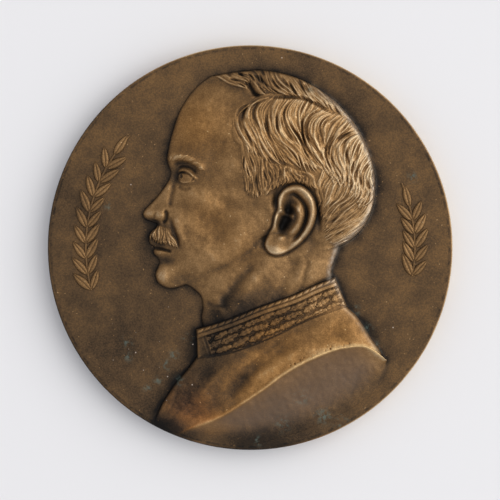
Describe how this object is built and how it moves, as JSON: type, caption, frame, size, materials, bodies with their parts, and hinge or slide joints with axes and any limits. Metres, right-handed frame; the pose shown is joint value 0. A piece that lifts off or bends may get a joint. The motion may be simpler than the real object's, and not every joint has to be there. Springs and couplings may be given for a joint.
{
  "type": "commemorative medal",
  "caption": "Round struck bronze medal with a raised head in left profile, an embroidered collar, a draped bust and two low laurel sprays; bare flat reverse.",
  "frame": {"origin": "centre of the bare reverse face, on the surface that the medal lies on", "axes": "+Z out of the portrait side, +Y to the top of the portrait, +X to the right of it, behind the head"},
  "size_m": [0.068, 0.068, 0.0075],
  "materials": {
    "bronze": "satin, dark brown patina worn to golden brown on the high places"
  },
  "bodies": {
    "root": {"medal": "bronze"}
  },
  "joints": []
}
